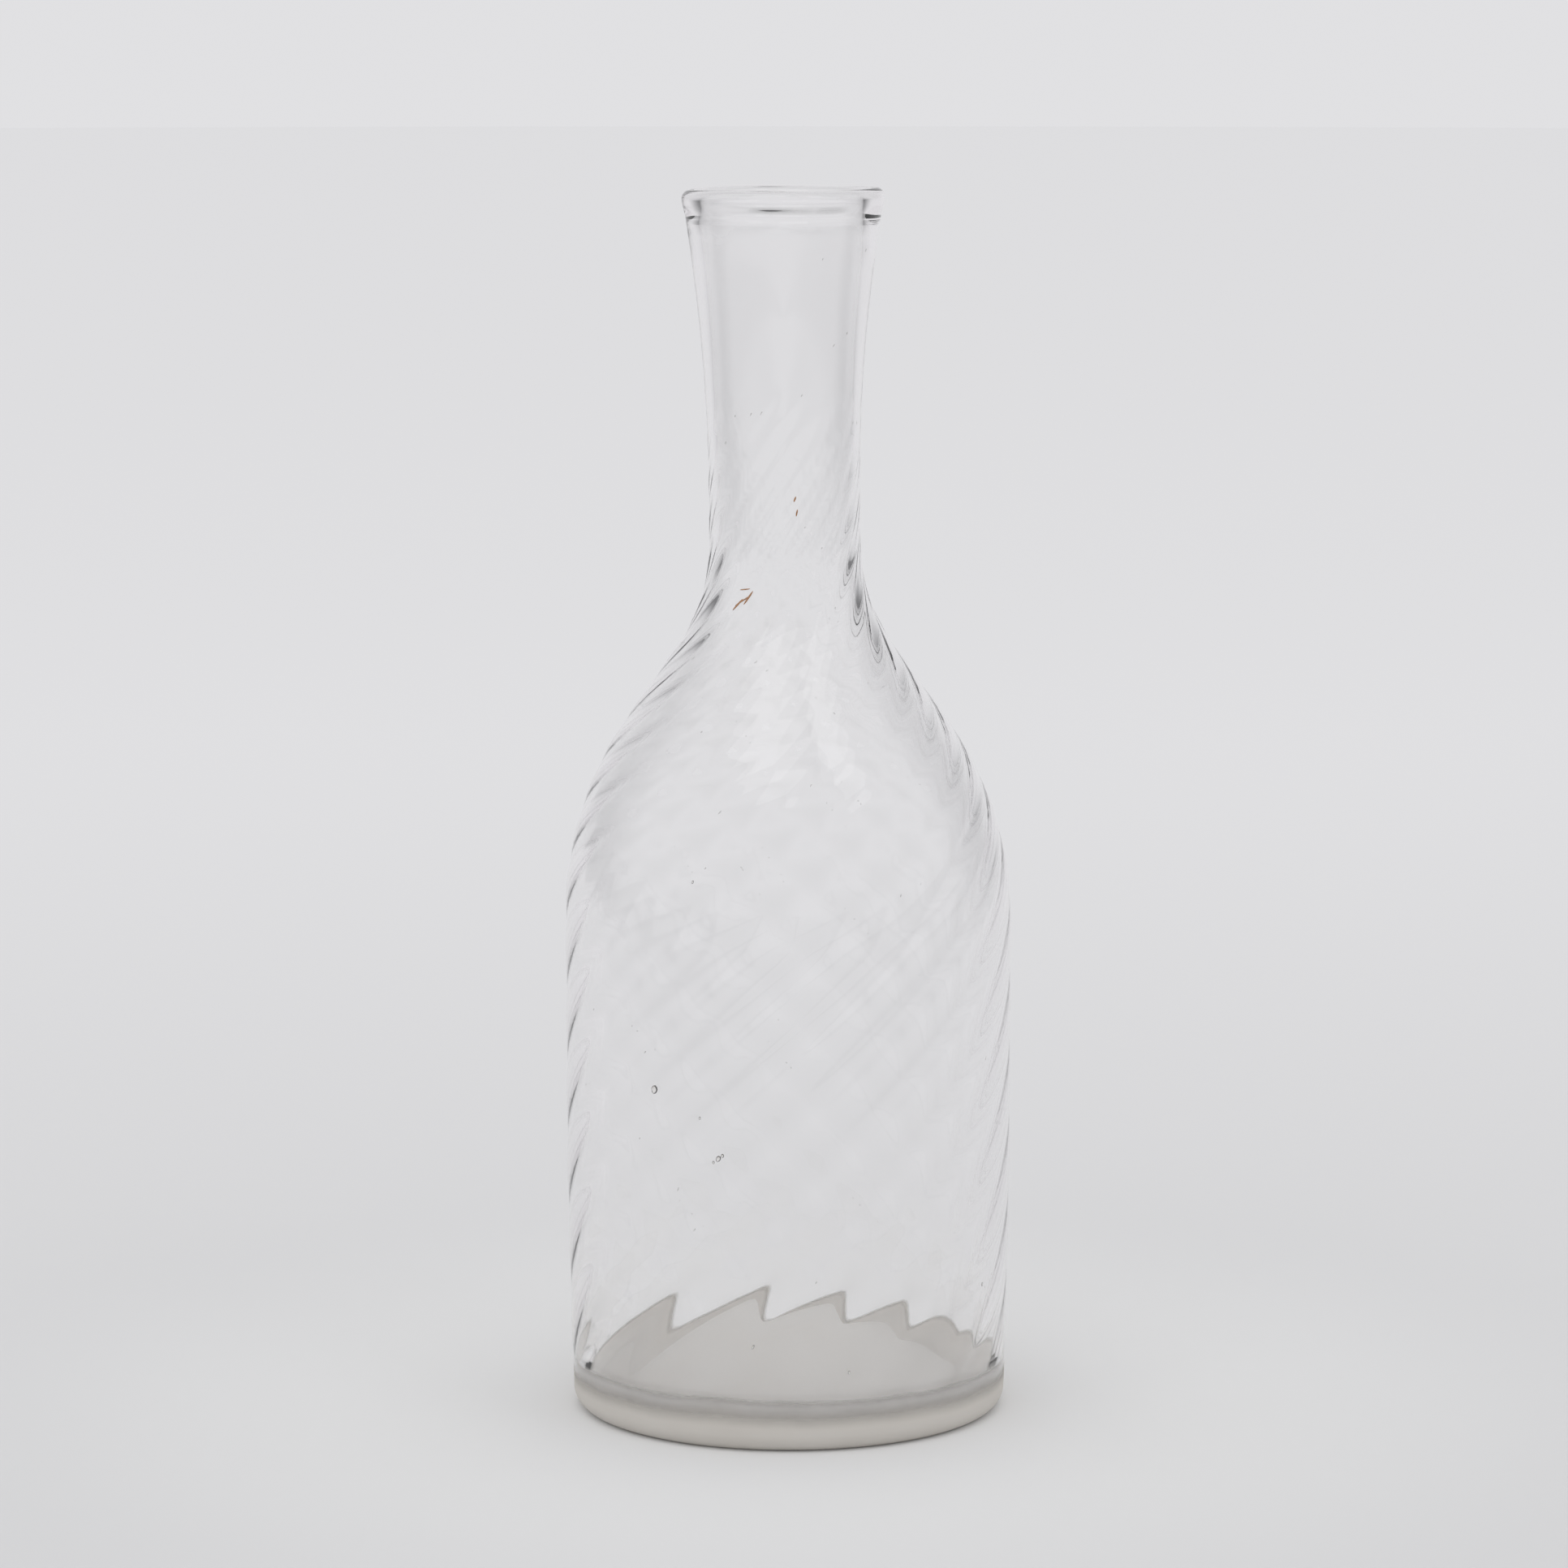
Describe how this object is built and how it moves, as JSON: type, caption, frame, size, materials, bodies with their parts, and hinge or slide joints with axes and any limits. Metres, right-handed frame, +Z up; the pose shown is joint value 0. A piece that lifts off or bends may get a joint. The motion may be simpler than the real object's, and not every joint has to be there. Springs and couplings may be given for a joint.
{
  "type": "spiral-ribbed glass carafe",
  "caption": "Clear blown glass carafe with a straight body, sloping shoulder, slim neck flaring to a thick lip, soft spiral ribs and a pushed-up base.",
  "frame": {"origin": "centre of the flat ring that the carafe stands on", "axes": "+Z up along the carafe's axis, out of the mouth; -Y towards the viewer of the picture, +X to that viewer's right"},
  "size_m": [0.1002, 0.1004, 0.2745],
  "materials": {
    "clear_glass": "fire-polished, colourless with a faint warm grey cast",
    "broken_glass": "rough broken ring left by the pontil rod"
  },
  "bodies": {
    "root": {"heel": "clear_glass", "kick_up": "clear_glass", "pontil_scar": "broken_glass", "body_wall": "clear_glass", "shoulder": "clear_glass", "neck": "clear_glass", "flare": "clear_glass", "lip": "clear_glass"}
  },
  "joints": []
}
